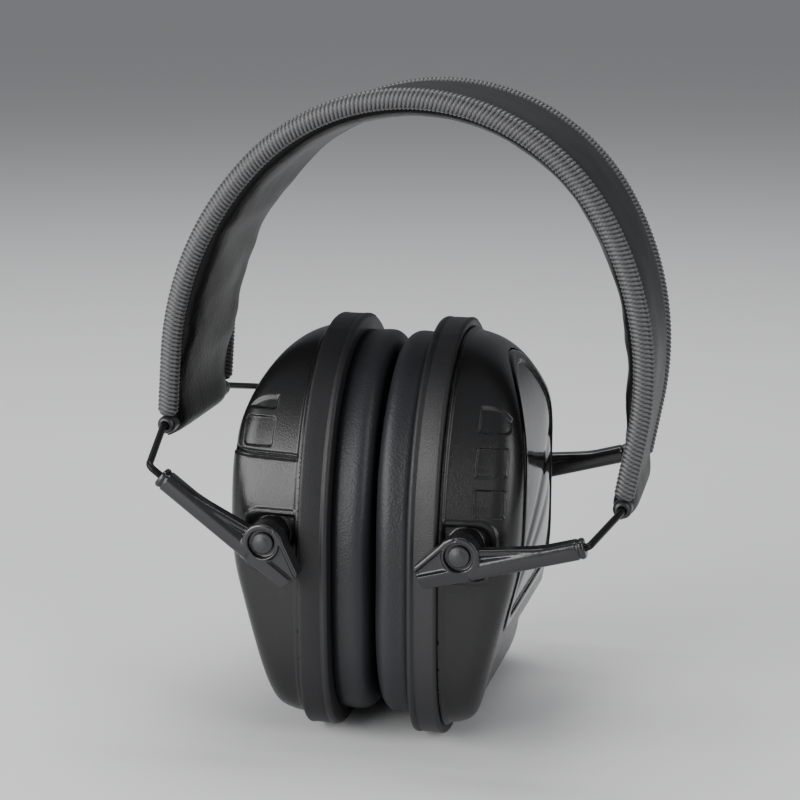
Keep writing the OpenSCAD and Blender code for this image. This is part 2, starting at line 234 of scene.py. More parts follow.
def corded(name, groove, crest_highlight, roughness):
    """Corded tape, with a painted highlight on the crests of its cords and painted shade in the grooves
    between them. The mesh says how high on a cord each point lies.
    """
    made, nodes, links, shader = surface(name, crest_highlight, roughness)
    height = nodes.new("ShaderNodeAttribute")
    height.attribute_name = "cord"
    # Painted light: the groove colour is painted shade, the crest colour a painted highlight.
    painted_light_ramp = nodes.new("ShaderNodeValToRGB")
    painted_light_ramp.color_ramp.elements[0].color = (*groove, 1)
    painted_light_ramp.color_ramp.elements[0].position = 0.3
    painted_light_ramp.color_ramp.elements[1].color = (*crest_highlight, 1)
    links.new(height.outputs["Fac"], painted_light_ramp.inputs["Fac"])
    links.new(painted_light_ramp.outputs["Color"], shader.inputs["Base Color"])
    weave = texture(nodes, links, "ShaderNodeTexNoise", 2500, Detail=2.0)
    bump(nodes, links, shader, weave.outputs["Fac"], 0.00005)
    return made


def steel(name, colour, roughness):
    """Drawn or rolled metal with faint marks."""
    made, nodes, links, shader = surface(name, colour, roughness, metallic=1.0)
    marks = texture(nodes, links, "ShaderNodeTexNoise", 350, Detail=6.0, Roughness=0.7)
    bump(nodes, links, shader, marks.outputs["Fac"], 0.00002)
    vary(nodes, links, marks.outputs["Fac"], shader.inputs["Roughness"], roughness * 0.7, roughness * 1.4)
    return made


def lacquer(name, colour, roughness):
    """Glossy coating over a wire or a moulded face, very slightly uneven."""
    made, nodes, links, shader = surface(name, colour, roughness, shine=0.12)
    flow = texture(nodes, links, "ShaderNodeTexNoise", 120, Detail=3.0)
    bump(nodes, links, shader, flow.outputs["Fac"], 0.00004)
    vary(nodes, links, flow.outputs["Fac"], shader.inputs["Roughness"], roughness * 0.8, roughness * 1.3)
    return made


SHELL_PLASTIC = plastic("shell_plastic", (0.007, 0.007, 0.0075), 0.28, 2600, 0.00006, shine=0.45)
COVER_PLASTIC = lacquer("cover_plastic", (0.003, 0.003, 0.0034), 0.1)
RIM_PLASTIC = plastic("rim_plastic", (0.012, 0.012, 0.013), 0.44, 3000, 0.0001)
RING_PLASTIC = plastic("ring_plastic", (0.05, 0.05, 0.052), 0.5, 1500, 0.0001)
ARM_PLASTIC = plastic("arm_plastic", (0.011, 0.011, 0.012), 0.22, 900, 0.00002, shine=0.6)
PIN_PLASTIC = plastic("pin_plastic", (0.03, 0.03, 0.032), 0.42, 1800, 0.00005)
BRACKET_PLASTIC = plastic("bracket_plastic", (0.02, 0.02, 0.022), 0.35, 1500, 0.00006)
# Piping: the dark colour is painted shade for the grooves, the pale one a painted highlight for the crests.
PIPING_TRIM = corded("piping_trim", (0.006, 0.006, 0.006), (0.1, 0.1, 0.103), 0.38)
CUSHION_LEATHER = leather("cushion_leather", (0.017, 0.0185, 0.021), 0.45, 1400, 0.00008, 0.34)
SLEEVE_LEATHER = leather("sleeve_leather", (0.004, 0.004, 0.0042), 0.46, 1100, 0.00012, 0.24)
BAIL_STEEL = lacquer("bail_steel", (0.01, 0.01, 0.01), 0.2)
STRIP_STEEL = steel("strip_steel", (0.42, 0.43, 0.45), 0.32)
RIVET_STEEL = steel("rivet_steel", (0.5, 0.5, 0.5), 0.3)
LINER_FOAM = foam("liner_foam", (0.12, 0.12, 0.125))


# ---- making meshes ------------------------------------------------------------------------------

def mesh_object(name, points, faces, material):
    """A smooth closed mesh from points in millimetres, turned so that its faces look outward."""
    points = np.asarray(points, float)
    corners = np.array([face[:3] for face in faces] + [(f[0], f[2], f[3]) for f in faces if len(f) > 3])
    a, b, c = (points[corners[:, i]] for i in range(3))
    mesh = bpy.data.meshes.new(name)
    mesh.from_pydata((points * MM).tolist(), [], [[int(i) for i in face] for face in faces])
    if np.einsum("ij,ij->i", a, np.cross(b, c)).sum() < 0:
        mesh.flip_normals()
    mesh.shade_smooth()
    mesh.materials.append(material)
    made = bpy.data.objects.new(name, mesh)
    bpy.context.scene.collection.objects.link(made)
    return made


def ring_faces(rings, around, ring_closed):
    """Quads between neighbouring rings of a grid of points, every ring closed round."""
    faces = []
    for i in range(rings if ring_closed else rings - 1):
        for j in range(around):
            k = (j + 1) % around
            n = (i + 1) % rings
            faces.append((i * around + j, i * around + k, n * around + k, n * around + j))
    return faces


def loft(name, rings, material, closed=False):
    """Skins rings of points. Ends are filled unless the last ring joins the first again."""
    rings = np.asarray(rings, float)
    count, around = rings.shape[:2]
    faces = ring_faces(count, around, closed)
    points = rings.reshape(-1, 3)
    if not closed:
        middles = [rings[0].mean(0), rings[-1].mean(0)]
        points = np.vstack([points, middles])
        for j in range(around):
            k = (j + 1) % around
            faces.append((k, j, count * around))
            faces.append(((count - 1) * around + j, (count - 1) * around + k, count * around + 1))
    return mesh_object(name, points, faces, material)


def carve(name, field, low, high, cell, material, place=lambda p: p, keep=1.0):
    """Meshes the surface where field(x, y, z) is zero, negative being inside, on a grid of that cell.
    Keep is the share of its faces that are left where the surface is smooth enough to spare the rest."""
    low = np.array(low, float) - 2 * cell
    counts = np.ceil((np.array(high) + 2 * cell - low) / cell).astype(int) + 1
    ticks = [low[i] + cell * np.arange(counts[i]) for i in range(3)]
    x, y, z = np.meshgrid(*ticks, indexing="ij", sparse=True)
    grid = openvdb.FloatGrid(3 * cell)
    grid.copyFromArray(np.ascontiguousarray(np.broadcast_to(field(x, y, z), counts), np.float32))
    points, quads = grid.convertToQuads(0.0)
    points = low + cell * points.astype(float)
    for _ in range(2):
        points = settle(points, field, cell)
    made = mesh_object(name, points, quads, material)
    if keep < 1:
        thin = made.modifiers.new("thin", "DECIMATE")
        thin.ratio = keep
        with bpy.context.temp_override(object=made):
            bpy.ops.object.modifier_apply(modifier=thin.name)
    put_in_place(made.data, field, cell / 4, place)
    return made


def uphill(points, field, step):
    """The field's slope at points, measured over a step each way."""
    slope = np.zeros_like(points)
    for i in range(3):
        ahead, behind = points.copy(), points.copy()
        ahead[:, i] += step
        behind[:, i] -= step
        slope[:, i] = (field(*ahead.T) - field(*behind.T)) / (2 * step)
    return slope


def settle(points, field, cell):
    """Moves points onto the field's surface, by at most a third of a cell."""
    slope = uphill(points, field, cell / 8)
    move = slope * (field(*points.T) / np.maximum((slope ** 2).sum(1), 0.05))[:, None]
    length = np.linalg.norm(move, axis=1)[:, None]
    return points - move * np.minimum(1, cell / 3 / np.maximum(length, 1e-9))


def put_in_place(mesh, field, step, place):
    """Moves a mesh that was carved in its field's frame into place and shades it by the field's slope."""
    points = np.empty(3 * len(mesh.vertices))
    mesh.vertices.foreach_get("co", points)
    points = points.reshape(-1, 3) / MM
    slope = uphill(points, field, step)
    slope /= np.maximum(np.linalg.norm(slope, axis=1), 1e-9)[:, None]
    placed = place(points)
    outward = place(points + 0.01 * slope) - placed
    corner = place(np.array([[0.0, 0, 0], [0.01, 0, 0], [0, 0.01, 0], [0, 0, 0.01]]))
    if np.linalg.det(corner[1:] - corner[0]) < 0:
        mesh.flip_normals()
    mesh.vertices.foreach_set("co", (placed * MM).ravel())
    outward /= np.linalg.norm(outward, axis=1)[:, None]
    mesh.normals_split_custom_set_from_vertices(outward)


DOME = ((0.55, 0.4), (0.85, 0.25))


def tube(name, path, radius, material, sides):
    """A round wire along a path of points. DOME has the width and height of the rings of its ends."""
    path = np.asarray(path, float)
    tangents = np.gradient(path, axis=0)
    tangents /= np.linalg.norm(tangents, axis=1)[:, None]
    side = np.cross(tangents[0], [0.0, 0.3, 1.0])
    turn = np.linspace(0, 2 * math.pi, sides, endpoint=False)[:, None]
    circles = []
    for along in tangents:
        side = side - along * (side @ along)
        side /= np.linalg.norm(side)
        circles.append(np.cos(turn) * side + np.sin(turn) * np.cross(along, side))
    rings = [point + radius * circle for point, circle in zip(path, circles)]
    start = [path[0] + radius * (w * circles[0] - h * tangents[0]) for w, h in DOME]
    end = [path[-1] + radius * (w * circles[-1] + h * tangents[-1]) for w, h in reversed(DOME)]
    return loft(name, start + rings + end, material)


def rounded_path(corners, radius, steps=10):
    """A path through corners, each inner one turned with that radius."""
    path = [corners[0]]
    for before, corner, after in zip(corners, corners[1:], corners[2:]):
        back = (before - corner) / np.linalg.norm(before - corner)
        ahead = (after - corner) / np.linalg.norm(after - corner)
        half = math.acos(np.clip(back @ ahead, -1, 1)) / 2
        reach = radius / math.tan(half)
        for t in np.linspace(0, 1, steps):
            path.append(corner + back * reach * (1 - t) ** 2 + ahead * reach * t ** 2)
    return path + [corners[-1]]


# ---- fields -------------------------------------------------------------------------------------

def smooth_max(a, b, r):
    """The greater of two fields, with the edge between them rounded over about r."""
    share = np.clip(0.5 + 0.5 * (a - b) / r, 0, 1)
    return b + (a - b) * share + r * share * (1 - share)


def smooth_min(a, b, r):
    """The lesser of two fields, with the corner between them filled over about r."""
    return -smooth_max(-a, -b, r)


def smooth_step(v, start, end):
    """Rises from 0 to 1 while v goes from start to end."""
    t = np.clip((v - start) / (end - start), 0, 1)
    return t * t * (3 - 2 * t)


def superellipse(u, v, a, b, n):
    """About the distance of (u, v) from a superellipse with half axes a and b, negative inside."""
    p, q = np.abs(u) / a, np.abs(v) / b
    size = (p ** n + q ** n) ** (1 / n) + 1e-6
    slope = np.hypot((p / size) ** (n - 1) / a, (q / size) ** (n - 1) / b)
    return (size - 1) / np.maximum(slope, 0.7 / max(a, b))


def taper(u, v, start, start_r, end, end_r):
    """About the distance from a strip with round ends of two radii."""
    along, up = end[0] - start[0], end[1] - start[1]
    t = np.clip(((u - start[0]) * along + (v - start[1]) * up) / (along ** 2 + up ** 2), 0, 1)
    return np.hypot(u - start[0] - t * along, v - start[1] - t * up) - start_r - t * (end_r - start_r)


def slab(v, middle, half):
    """Distance from a slab around middle, negative inside."""
    return np.abs(v - middle) - half


def outline_field(y, z, grow):
    """About the distance from the cup's outline, grown by that much."""
    above = superellipse(y, z - WAIST, CUP_W / 2 + grow, CUP_H - WAIST + grow, TOP_POWER)
    below = superellipse(y, z - WAIST, CUP_W / 2 + grow, WAIST + FOOT_CUT + grow, FOOT_POWER)
    return np.maximum(np.where(z >= WAIST, above, below), -grow - z)


# ---- cup shells ---------------------------------------------------------------------------------

# Relief of the shell's walls. Windows are shallow recesses, given by the heights of their middles.
WINDOWS = {"left": (82.6, 91.6), "right": (68.0, 78.0, 88.4)}
WINDOW_X = 31.0
WINDOW_HALF_L = 3.9
WINDOW_HALF_H = 3.5
WINDOW_DEPTH = 0.5
POCKET_HALF_L = 9.3
POCKET_HALF_H = 7.0
POCKET_DEPTH = 0.9
POCKET_TOP = PIVOT[2] + 5.2
EDGE_RISE = 0.35
LIP_RISE = 0.6
LIP_START = 0.8
LIP_END = 1.7
BOSS_R = 4.4
BOSS_Y = 41.0
BOSS_HALF_L = 4.0

# Seat of the glossy cover: how far it reaches back from the face, and the gap around and under it
COVER_DEEP = 12.0
SEAT_WIDER = 0.25
SEAT_DEEPER = 0.1

# Panel below the groove in the left shell's walls. Both rise a little with X.
PANEL_Z = 75.8
PANEL_SLOPE = 0.03
PANEL_RISE = 0.3
GROOVE_RISE = 0.9
GROOVE_HALF = 0.4
GROOVE_DEPTH = 0.5


def shell_skin(x, y, z):
    """The plain outer form of a shell."""
    level = z + FACE_SLANT * y
    past, above = np.maximum(x - TOP_X, 0), np.maximum(level - WIDEST_Z, 0)
    crown = superellipse(past, above, DEPTH - TOP_X, CUP_H - WIDEST_Z, CROWN_POWER)
    lean = (x - DEPTH - (level - WIDEST_Z + FLAT_BELOW) * FACE_LEAN) * 0.97
    step = STEP_IN * (0.4 + 0.6 * smooth_step(z, 2, STEP_Z)) * smooth_step(-z, -STEP_Z - 0.7, -STEP_Z + 0.7)
    lean = lean + step * smooth_step(y, -STEP_FRONT - 3, -STEP_FRONT + 5)
    plan = np.hypot(x - DEPTH + FACE_R, y + FACE_CREST) - FACE_R
    outer = smooth_max(smooth_max(crown, lean, 3), plan, 2)
    outer = smooth_max(outer, 2 - z, 7)
    draft = WALL_DRAFT * np.maximum(x - SHELL_X, 0)
    return smooth_max(outline_field(y, z, -RIM_FLARE) + draft, outer, 6)


def cover_zone(y, z):
    """The part of the outer face that the glossy cover takes up."""
    zone = smooth_max(np.abs(y) - COVER_HALF_W, outline_field(y, z, -RIM_FLARE - 6), 6)
    return smooth_max(zone, COVER_FOOT - z, 5)


def pocket_relief(x, z):
    """Height of the wall round a pivot: a pocket for the arm's head, with a raised edge."""
    length = slab(x, PIVOT[0] - 2.5, POCKET_HALF_L)
    pocket = smooth_max(length, slab(z, POCKET_TOP - POCKET_HALF_H, POCKET_HALF_H), 5)
    edge = smooth_step(pocket, -0.3, 0.3) * smooth_step(-pocket, -1.6, -0.9)
    return EDGE_RISE * edge - POCKET_DEPTH * smooth_step(-pocket, 0, 0.8)


def panel_relief(x, z):
    """Height of the wall below its groove, and the groove itself."""
    line = z - PANEL_Z - PANEL_SLOPE * x
    groove = np.exp(-((line - GROOVE_RISE) / GROOVE_HALF) ** 2)
    return PANEL_RISE * smooth_step(-line, 0, 0.6) - GROOVE_DEPTH * groove


def shell_field(side):
    """The hollow shell of a side, with what is moulded into its walls."""
    def field(x, y, z):
        skin = shell_skin(x, y, z)
        lip = smooth_step(-x, -SHELL_X - LIP_END, -SHELL_X - LIP_START)
        raised = pocket_relief(x, z)
        if side == "left":
            raised = raised + panel_relief(x, z)
        raised = raised * smooth_step(np.abs(y), 26, 32) * (1 - lip)
        solid = np.maximum(skin - raised - LIP_RISE * lip, SHELL_X - x)
        for middle in WINDOWS[side]:
            square = smooth_max(slab(x, WINDOW_X, WINDOW_HALF_L), slab(z, middle, WINDOW_HALF_H), 1.0)
            square = np.maximum(square, 28 - np.abs(y))
            solid = smooth_max(solid, -smooth_max(square, -skin - WINDOW_DEPTH, 0.3), 0.35)
        seat = np.maximum(cover_zone(y, z) - SEAT_WIDER, DEPTH - COVER_DEEP - x)
        solid = smooth_max(solid, -np.maximum(seat, -skin - COVER_T - SEAT_DEEPER), 0.5)
        boss = np.hypot(x - PIVOT[0], z - PIVOT[2]) - BOSS_R
        solid = smooth_min(solid, smooth_max(boss, slab(np.abs(y), BOSS_Y, BOSS_HALF_L), 0.8), 0.8)
        inside = np.maximum(skin + WALL, SHELL_X - 1 - x)
        return np.maximum(solid, -inside)
    return field


# Relief of the glossy cover: its flutes are arcs about points below the rear of the cup
BORDER_RISE = 0.45
DISH_DEPTH = 0.7
FLUTE_CENTRES = (-22.0, -34.0)
FLUTE_Y = 38.0
FLUTE_R = 96.0
FLUTE_HALF = 2.2
FLUTE_DEPTH = 0.55


def cover_field(x, y, z):
    """Glossy cover: a raised border round a shallow dish with two sweeping flutes."""
    skin, zone = shell_skin(x, y, z), cover_zone(y, z)
    border = smooth_step(zone, -3.4, -2.6)
    flute = 0.0
    for centre_z in FLUTE_CENTRES:
        arc = np.hypot(y - FLUTE_Y, z - centre_z) - FLUTE_R
        flute = flute + np.exp(-(arc / FLUTE_HALF) ** 2)
    dish = (DISH_DEPTH + FLUTE_DEPTH * flute) * (1 - border)
    body = np.maximum(skin - BORDER_RISE + dish, -skin - COVER_T)
    return smooth_max(smooth_max(body, zone, 0.9), DEPTH - COVER_DEEP - x, 0.5)


def mirrored(sign):
    """Places points on the side that sign stands for."""
    return lambda points: points * np.array([sign, 1, 1])


def make_shell(side, sign):
    """Cup shell and the glossy cover on its face."""
    half_w = CUP_W / 2 + 2.5
    low, high = (SHELL_X, -half_w, 0), (DEPTH + 1, half_w, CUP_H)
    shell = carve(f"{side}_shell", shell_field(side), low, high, 0.4, SHELL_PLASTIC, mirrored(sign),
                  keep=0.35)
    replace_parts(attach(shell, f"{side}_cup"), f"{side}_cup_shell")
    low = (DEPTH - COVER_DEEP, -COVER_HALF_W - 2, COVER_FOOT - 2)
    cover = carve(f"{side}_cover", cover_field, low, (DEPTH + 1, COVER_HALF_W + 2, CUP_H), 0.55,
                  COVER_PLASTIC, mirrored(sign))
    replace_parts(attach(cover, f"{side}_cup"), f"{side}_outer_cover")


# ---- rims, seat rings and cushions --------------------------------------------------------------

# Points in every ring of a rim, seat ring or cushion, and the flat block on top of the rim
AROUND = 264
BLOCK_START = 12.3
BLOCK_END = 13.5
BLOCK_RISE = 0.25


def evenly(points):
    """AROUND points at equal distances along a closed line."""
    closed = np.vstack([points, points[:1]])
    run = np.concatenate([[0], np.cumsum(np.linalg.norm(np.diff(closed, axis=0), axis=1))])
    at = np.linspace(0, run[-1], AROUND, endpoint=False)
    return np.column_stack([np.interp(at, run, closed[:, i]) for i in range(2)])


def power(v, p):
    """A power that keeps its number's sign."""
    return np.sign(v) * np.abs(v) ** p


def cup_line(grow):
    """The cup's outline from the side, as (y, z) points from the top round."""
    t = np.radians(90 + np.arange(0, 360, 0.1))
    up = np.sin(t) >= 0
    p = np.where(up, 2 / TOP_POWER, 2 / FOOT_POWER)
    reach = grow + np.where(up, CUP_H - WAIST, WAIST + FOOT_CUT)
    y = power(np.cos(t), p) * (CUP_W / 2 + grow)
    z = np.maximum(-grow, WAIST + power(np.sin(t), p) * reach)
    return evenly(np.column_stack([y, z]))


def ear_line(r):
    """The ear opening: a slot with round ends of radius r."""
    t = np.radians(90 + np.arange(0, 360, 0.5))
    y = r * np.cos(t)
    z = CUP_H / 2 + r * np.sin(t) + np.sign(np.sin(t)) * (EAR_H / 2 - EAR_R)
    return evenly(np.column_stack([y, z]))


def lined_ring(line, x, sign):
    """A line in Y and Z, put at one x of a side."""
    return np.column_stack([np.full(AROUND, sign * x), line])


def make_rim(side, sign):
    """Rim band with a bead at each edge and a flat block on top, and the floor behind the cushion."""
    section = [
        (-0.9, RIM_X), (-0.25, RIM_X + 0.25), (0.0, RIM_X + 0.8), (0.0, RIM_X + 1.5),
        (-0.35, RIM_X + 1.8), (-0.35, RIM_X + 2.2), (-0.1, RIM_X + 2.5), (-0.1, SHELL_X - 1.4),
        (0.0, SHELL_X - 1.1), (0.0, SHELL_X - 0.5), (-0.2, SHELL_X - 0.15), (-0.8, SHELL_X),
        (-1.7, SHELL_X), (-2.3, SHELL_X - 0.3), (-3.4, SHELL_X - 0.3), (-3.7, SHELL_X - 0.6),
        (-4.2, RIM_X + 3.2), (-4.7, RIM_X + 2.6),
    ]
    rings = []
    for grow, x in section:
        line = cup_line(grow)
        block = smooth_step(-np.abs(line[:, 0]), -BLOCK_END, -BLOCK_START) * (line[:, 1] > WAIST)
        line[:, 1] += BLOCK_RISE * block * (grow > -0.9)
        rings.append(lined_ring(line, x, sign))
    for r, x in ((EAR_R + 3.6, RIM_X + 2.5), (EAR_R + 3.0, RIM_X + 2.2), (EAR_R + 3.0, RIM_X + 0.3),
                 (EAR_R + 3.5, RIM_X)):
        rings.append(lined_ring(ear_line(r), x, sign))
    rim = loft(f"{side}_rim", rings, RIM_PLASTIC, closed=True)
    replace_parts(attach(rim, f"{side}_cup"), f"{side}_cup_rim")


def make_seat_ring(side, sign):
    """Snap ring that carries the cushion."""
    outer = cup_line(-6)
    rings = [lined_ring(outer, RIM_X - 0.2, sign), lined_ring(outer, RIM_X - 1.0, sign),
             lined_ring(outer * 0.985 + [0, CUP_H * 0.0075], RIM_X - 1.2, sign)]
    snap = ((0, -1.2), (0.2, 0.2), (1.1, 0.8), (1.2, 2.8), (1.5, 3.0), (2.7, 3.0), (2.9, 2.7), (2.9, 0))
    for grow, x in snap:
        rings.append(lined_ring(ear_line(EAR_R + grow), RIM_X + x, sign))
    ring = loft(f"{side}_cushion_ring", rings, RING_PLASTIC, closed=True)
    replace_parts(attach(ring, f"{side}_cup"), f"{side}_seat_ring")


# Cushion: powers that shape its section, how uneven its skin is, and the puckers at the ear opening
CUSHION_ROWS = 30
SPREAD_POWER = 0.62
LIFT_POWER = 0.72
SEAM_POWER = 6
SWELL = 0.45
SWELL_BIAS = 0.35
SWELL_SIZE = 26.0
PUCKERS = 33
PUCKER_DEPTH = 0.22
PUCKER_DRIFT = 2.2


def make_cushion(side, sign):
    """Foam-filled cushion: a full crown between a welted outer seam and the puckered ear opening."""
    outer, inner = cup_line(-2.5), ear_line(EAR_R)
    seam, tuck = cup_line(-4.2), ear_line(EAR_R + 0.6)
    thick = RIM_X - FACE_X
    rings = [lined_ring(cup_line(-6.4), RIM_X - 0.05, sign), lined_ring(cup_line(-4.6), RIM_X - 0.1, sign)]
    for i in range(CUSHION_ROWS + 1):
        turn = math.pi * i / CUSHION_ROWS
        across = (1 - power(math.cos(turn), SPREAD_POWER)) / 2
        lift = abs(math.sin(turn)) ** LIFT_POWER
        tight = abs(math.cos(turn)) ** SEAM_POWER
        edge = outer * (1 - tight) + seam * tight
        hole = inner * (1 - tight) + tuck * tight
        line = edge * (1 - across) + hole * across
        x = RIM_X - 0.25 - (thick - 0.25) * lift
        ring = lined_ring(line, x, 1)
        for j, (y, z) in enumerate(line):
            place = Vector((y / SWELL_SIZE, z / SWELL_SIZE, 3.7 * sign))
            ring[j, 0] += SWELL * (noise.noise(place) + SWELL_BIAS) * lift
            drift = PUCKER_DRIFT * noise.noise(place * 3)
            pucker = math.sin(j * 2 * math.pi * PUCKERS / AROUND + drift)
            ring[j, 0] += PUCKER_DEPTH * pucker * across ** 3 * lift
        ring[:, 0] = np.maximum(ring[:, 0], FACE_X)
        rings.append(ring * [sign, 1, 1])
    rings.append(lined_ring(ear_line(EAR_R + 0.9), RIM_X - 0.9, sign))
    rings.append(lined_ring(ear_line(EAR_R + 6), RIM_X - 1.0, sign))
    cushion = loft(f"{side}_cushion", rings, CUSHION_LEATHER, closed=True)
    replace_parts(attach(cushion, f"{side}_cup"), f"{side}_ear_cushion")
    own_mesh(cushion)


LINER_MIDDLE = 26.5
LINER_HALF_T = 4.5
LINER_GAP = 0.6
DIMPLE_DEPTH = 1.1
DIMPLE_R = 17.0


def liner_field(x, y, z):
    """Sheet of foam that fits inside the shell, with a dimple behind the ear opening."""
    sheet = smooth_max(shell_skin(x, y, z) + WALL + LINER_GAP, slab(x, LINER_MIDDLE, LINER_HALF_T), 3)
    dimple = DIMPLE_DEPTH * np.exp(-(np.hypot(y, (z - CUP_H / 2) * 0.7) / DIMPLE_R) ** 2)
    return sheet + dimple * smooth_step(-x, -26, -24)


def make_liner(side, sign):
    """Foam in the cup behind the ear opening."""
    low, high = low_high("right_foam_liner")
    liner = carve(f"{side}_liner", liner_field, low, high, 1.3, LINER_FOAM, mirrored(sign))
    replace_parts(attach(liner, f"{side}_cup"), f"{side}_foam_liner")


# ---- arms, pins and wire bails ------------------------------------------------------------------

# Head of an arm: corners of its outline as (u, w), and relief
COLLAR_R = 5.3
COLLAR_T = 2.75
TAIL_TIP = (-12.3, 3.9)
TAIL_HEEL = (-11.2, -2.2)
HEAD_FOOT = (5.0, -2.9)
CHEEK_TOP = (4.9, 4.5)
CHEEK_FOOT = (2.6, -3.0)
FACET_SLOPE = 0.42
FACET_TOP = 0.9
DISH_INSET = 1.1
DISH_FOOT = 1.5
DISH_FLOOR = 1.75
DISH_FROM_PIN = 4.35
SOCKET_R = 3.75
SOCKET_FLOOR = 1.15

# Shank of an arm: ends of its web and rib as (u, w) with a radius, and the neck cut near its tube's mouth
WEB = ((3.0, 3.2), 2.2, (21.0, 0.6), 1.6)
WEB_HALF_T = 1.45
RIB = ((4.0, 4.3), 0.0, (20.0, 1.5), 0.0)
RIB_V = 1.3
RIB_R = 0.75
TUBE_FLAT = TUBE_R - 0.3
NECK_U = ARM_REACH - 1.6
NECK_DEPTH = 0.35
NECK_HALF_L = 0.25
BORE_R = WIRE_R + 0.05


def beyond(u, w, start, end):
    """How far (u, w) lies to the left of the line from start to end."""
    along, up = end[0] - start[0], end[1] - start[1]
    return ((w - start[1]) * along - (u - start[0]) * up) / math.hypot(along, up)


# Where the arm's brow, a line from the tip of the tail, touches the collar
BROW_TURN = math.asin(COLLAR_R / -TAIL_TIP[0])
TOUCH = (-COLLAR_R * math.sin(BROW_TURN), PIN_OFFSET + COLLAR_R * math.cos(BROW_TURN))


def head_field(u, v, w):
    """The arm's head: a collar round the pin drawn out into a tail, bevelled below, with a dish above."""
    from_pin = np.hypot(u, w - PIN_OFFSET)
    brow = beyond(u, w, TAIL_TIP, TOUCH)
    foot = beyond(u, w, HEAD_FOOT, TAIL_HEEL)
    tail = smooth_max(smooth_max(brow, beyond(u, w, TAIL_HEEL, TAIL_TIP), 0.9), foot, 0.9)
    tail = np.maximum(tail, u - TOUCH[0])
    cheek = smooth_max(beyond(u, w, CHEEK_TOP, CHEEK_FOOT), foot, 0.9)
    cheek = np.maximum(smooth_max(cheek, w - PIN_OFFSET, 0.1), TOUCH[0] - 0.5 - u)
    collar = smooth_min(np.minimum(tail, cheek), from_pin - COLLAR_R, 0.6)
    facet = (v - COLLAR_T - FACET_SLOPE * np.minimum(w - FACET_TOP, 0)) * 0.92
    head = smooth_max(smooth_max(collar, slab(v, 0, COLLAR_T), 0.7), facet, 0.35)
    dish = smooth_max(smooth_max(brow + DISH_INSET, DISH_FOOT - w, 0.7), DISH_FROM_PIN - from_pin, 0.5)
    dish = smooth_max(dish, u - 0.5, 0.4)
    return smooth_max(head, -smooth_max(dish, DISH_FLOOR - v, 1.0), 0.3)


def shank_field(u, v, w):
    """The arm's shank: a tube for the wire, with a thin web and a rib along its upper edge."""
    web = smooth_max(taper(u, w, *WEB), slab(v, 0, WEB_HALF_T), 0.8)
    rib = np.hypot(taper(u, w, *RIB), np.abs(v) - RIB_V) - RIB_R
    length = slab(u, (ARM_REACH + 1) / 2, (ARM_REACH - 1) / 2)
    barrel = smooth_max(np.hypot(v, w) - TUBE_R, slab(v, 0, TUBE_FLAT), 0.6)
    barrel = smooth_max(smooth_max(barrel, slab(w, 0, TUBE_FLAT), 0.6), length, 0.9)
    return smooth_min(smooth_min(web, rib, 0.6), barrel, 0.5)


def arm_field(u, v, w):
    """An arm in its own frame. V is the distance from the plane of the wire, outward from the cup."""
    arm = smooth_min(shank_field(u, v, w), head_field(u, v, w), 0.3)
    arm = arm + NECK_DEPTH * np.exp(-((u - NECK_U) / NECK_HALF_L) ** 2)
    socket = smooth_max(np.hypot(u, w - PIN_OFFSET) - SOCKET_R, SOCKET_FLOOR - v, 0.3)
    arm = smooth_max(arm, -socket, 0.35)
    return np.maximum(arm, BORE_R - np.hypot(v, w))


def slope_of(side):
    """The slope of a side's arms, from the line that its size slide moves on."""
    axis = joint(f"{side}_size")["axis"]
    return math.atan2(abs(axis[2]), abs(axis[0]))


def on_arm(side, sign, front):
    """Places points of the arm's frame (u along the bore, v outward from the cups, w up)."""
    a = slope_of(side)

    def place(points):
        u, v, w = np.asarray(points, float).T
        w = w - PIN_OFFSET
        x = PIVOT[0] + u * math.cos(a) - w * math.sin(a)
        z = PIVOT[2] + u * math.sin(a) + w * math.cos(a)
        return np.column_stack([sign * x, front * (ARM_Y + v), z])
    return place


def make_arms(side, sign):
    """Front and rear arm, which turn on the cup's pins."""
    for end, front in (("front", -1), ("rear", 1)):
        place = on_arm(side, sign, front)
        arm = carve(f"{side}_{end}_arm_body", arm_field, (-13, -3, -4), (ARM_REACH, 3, 10.5), 0.3,
                    ARM_PLASTIC, place)
        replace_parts(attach(arm, f"{side}_arms"), f"{side}_{end}_arm")


# A pin's outline from its root to the crown of its head, as (radius, v)
PIN_PROFILE = ((1.5, -11.0), (1.5, 1.2), (2.0, 1.3), (2.7, 1.35), (2.85, 1.6), (2.75, 1.95), (2.3, 2.3),
               (2.1, 2.28), (1.7, 2.55), (1.0, 2.75), (0.4, 2.8))
PIN_SIDES = 48


def make_pins(side, sign):
    """Two pins with low domed heads, each with a flat ring round its crown."""
    turn = np.linspace(0, 2 * math.pi, PIN_SIDES, endpoint=False)
    u, w = np.cos(turn), np.sin(turn)
    parts = []
    for front in (-1, 1):
        place = on_arm(side, sign, front)
        rings = [place(np.column_stack([r * u, np.full(PIN_SIDES, v), PIN_OFFSET + r * w]))
                 for r, v in PIN_PROFILE]
        parts.append(loft(f"{side}_pin_{front + 2}", rings, PIN_PLASTIC))
    pins = join(parts, f"{side}_pins")
    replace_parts(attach(pins, f"{side}_cup"), f"{side}_pivot_pins")


def join(parts, name):
    """Puts several meshes into one object."""
    with bpy.context.temp_override(active_object=parts[0], selected_editable_objects=parts):
        bpy.ops.object.join()
    parts[0].name = name
    return parts[0]


def hinge_on_arm(side, sign):
    """The headband hinge of a side in its arm's frame, (u, w)."""
    a = slope_of(side)
    reach = joint_place(f"{side}_fold") * [sign, 1, 1] - PIVOT
    return (reach[0] * math.cos(a) + reach[2] * math.sin(a),
            reach[2] * math.cos(a) - reach[0] * math.sin(a) + PIN_OFFSET)


BAIL_BEND_R = 2.2


